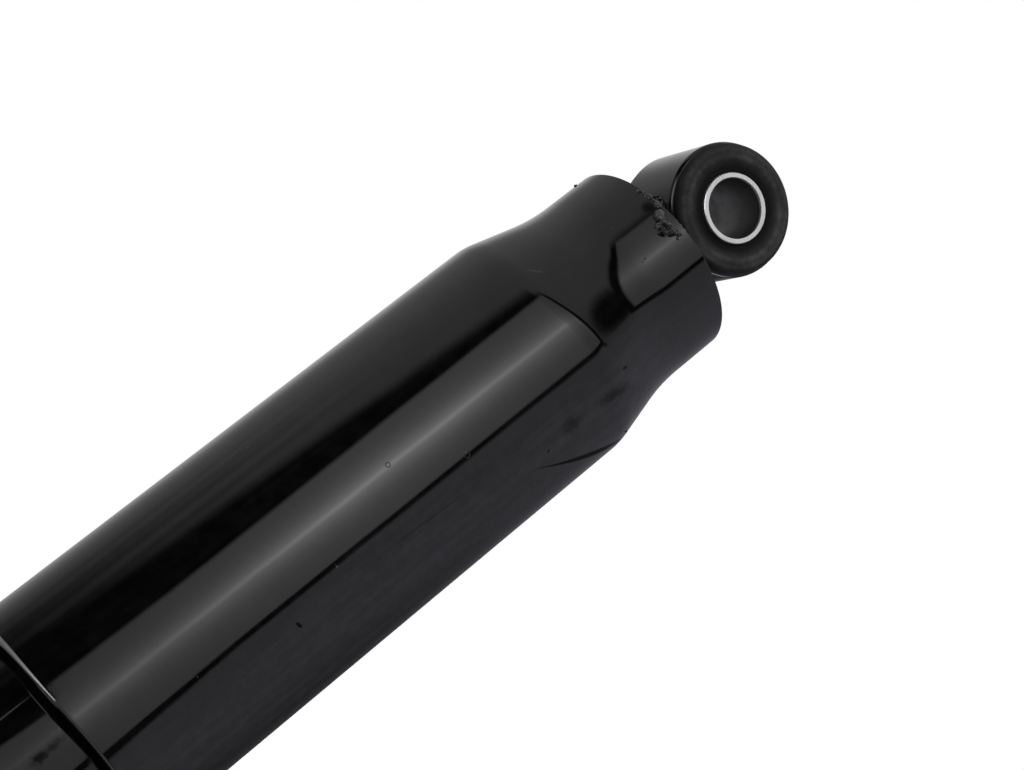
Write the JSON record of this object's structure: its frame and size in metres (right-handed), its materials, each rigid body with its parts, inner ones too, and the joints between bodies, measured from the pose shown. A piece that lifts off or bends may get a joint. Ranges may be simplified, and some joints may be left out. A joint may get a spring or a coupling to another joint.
{
  "type": "shock absorber",
  "caption": "Telescopic twin-tube shock absorber with a necked black dust tube, a welded eye with rubber bush and steel sleeve at each end, and a sliding rod with valved piston.",
  "frame": {"origin": "centre of the lower eye's bore", "axes": "+Z along the strut towards the upper eye; +Y along both eye bores, closed length at rest"},
  "size_m": [0.07, 0.07, 0.3913],
  "materials": {
    "black_paint": "gloss black paint",
    "bush_rubber": "matt moulded rubber",
    "sleeve_steel": "bright turned steel",
    "hard_chrome": "ground hard chrome",
    "bare_steel": "oiled machined steel",
    "spring_steel": "tempered spring steel",
    "sintered_iron": "sintered iron",
    "bearing_bronze": "bearing bronze",
    "band_plastic": "filled low-friction plastic",
    "bumper_plastic": "moulded plastic",
    "seal_rubber": "smooth rubber"
  },
  "bodies": {
    "lower_mount": {"lower_sleeve": "sleeve_steel"},
    "cylinder": {"lower_bush": "bush_rubber", "lower_eye_ring": "black_paint", "lower_eye_weld": "black_paint", "base_cap": "black_paint", "base_cap_weld": "black_paint", "reserve_tube": "black_paint", "pressure_tube": "bare_steel", "base_valve_body": "sintered_iron", "compression_discs": "spring_steel", "backing_washer": "bare_steel", "base_valve_bolt": "bare_steel", "base_valve_nut": "bare_steel", "base_intake_spring": "spring_steel", "rod_guide": "sintered_iron", "guide_bush": "bearing_bronze", "guide_o_ring": "seal_rubber", "rod_seal": "seal_rubber", "gland_cap": "bare_steel"},
    "base_check_valve": {"base_intake_plate": "spring_steel"},
    "band": {"piston_band": "band_plastic"},
    "rod": {"piston_rod": "hard_chrome", "rod_weld": "bare_steel", "stop_collar": "bare_steel", "rebound_bumper": "bumper_plastic", "support_washer": "bare_steel", "intake_star_spring": "spring_steel", "piston": "sintered_iron", "rebound_spring": "spring_steel", "piston_nut": "bare_steel", "dust_tube": "black_paint", "top_cap": "black_paint", "top_cap_weld": "black_paint", "upper_eye_ring": "black_paint", "upper_eye_weld": "black_paint", "upper_bush": "bush_rubber"},
    "piston_check_valve": {"piston_intake_plate": "spring_steel"},
    "rebound_valve": {"rebound_valve_plate": "spring_steel"},
    "upper_mount": {"upper_sleeve": "sleeve_steel"}
  },
  "joints": [
    {"name": "lower_bush_twist", "type": "hinge", "parent": "lower_mount", "child": "cylinder", "pos_m": [0, 0, 0], "axis": [0, 1, 0], "range_deg": [-15, 15], "stiffness_Nm_per_rad": 60},
    {"name": "base_check_lift", "type": "slide", "parent": "cylinder", "child": "base_check_valve", "axis": [0, 0, 1], "range_m": [0, 0.0012], "stiffness_N_per_m": 400, "springref_m": -0.004, "deforming": ["base_intake_spring"]},
    {"name": "rod_stroke", "type": "slide", "parent": "cylinder", "child": "band", "axis": [0, 0, 1], "range_m": [0, 0.16]},
    {"name": "rod_swivel", "type": "hinge", "parent": "band", "child": "rod", "pos_m": [0, 0, 0.08615], "axis": [0, 0, 1], "continuous": true},
    {"name": "piston_check_lift", "type": "slide", "parent": "rod", "child": "piston_check_valve", "axis": [0, 0, 1], "range_m": [0, 0.001], "stiffness_N_per_m": 600, "springref_m": -0.003, "deforming": ["intake_star_spring"]},
    {"name": "rebound_valve_lift", "type": "slide", "parent": "rod", "child": "rebound_valve", "axis": [0, 0, -1], "range_m": [0, 0.001], "stiffness_N_per_m": 30000, "springref_m": -0.006, "deforming": ["rebound_spring"]},
    {"name": "upper_bush_twist", "type": "hinge", "parent": "rod", "child": "upper_mount", "pos_m": [0, 0, 0.3521], "axis": [0, 1, 0], "range_deg": [-15, 15], "stiffness_Nm_per_rad": 60}
  ]
}
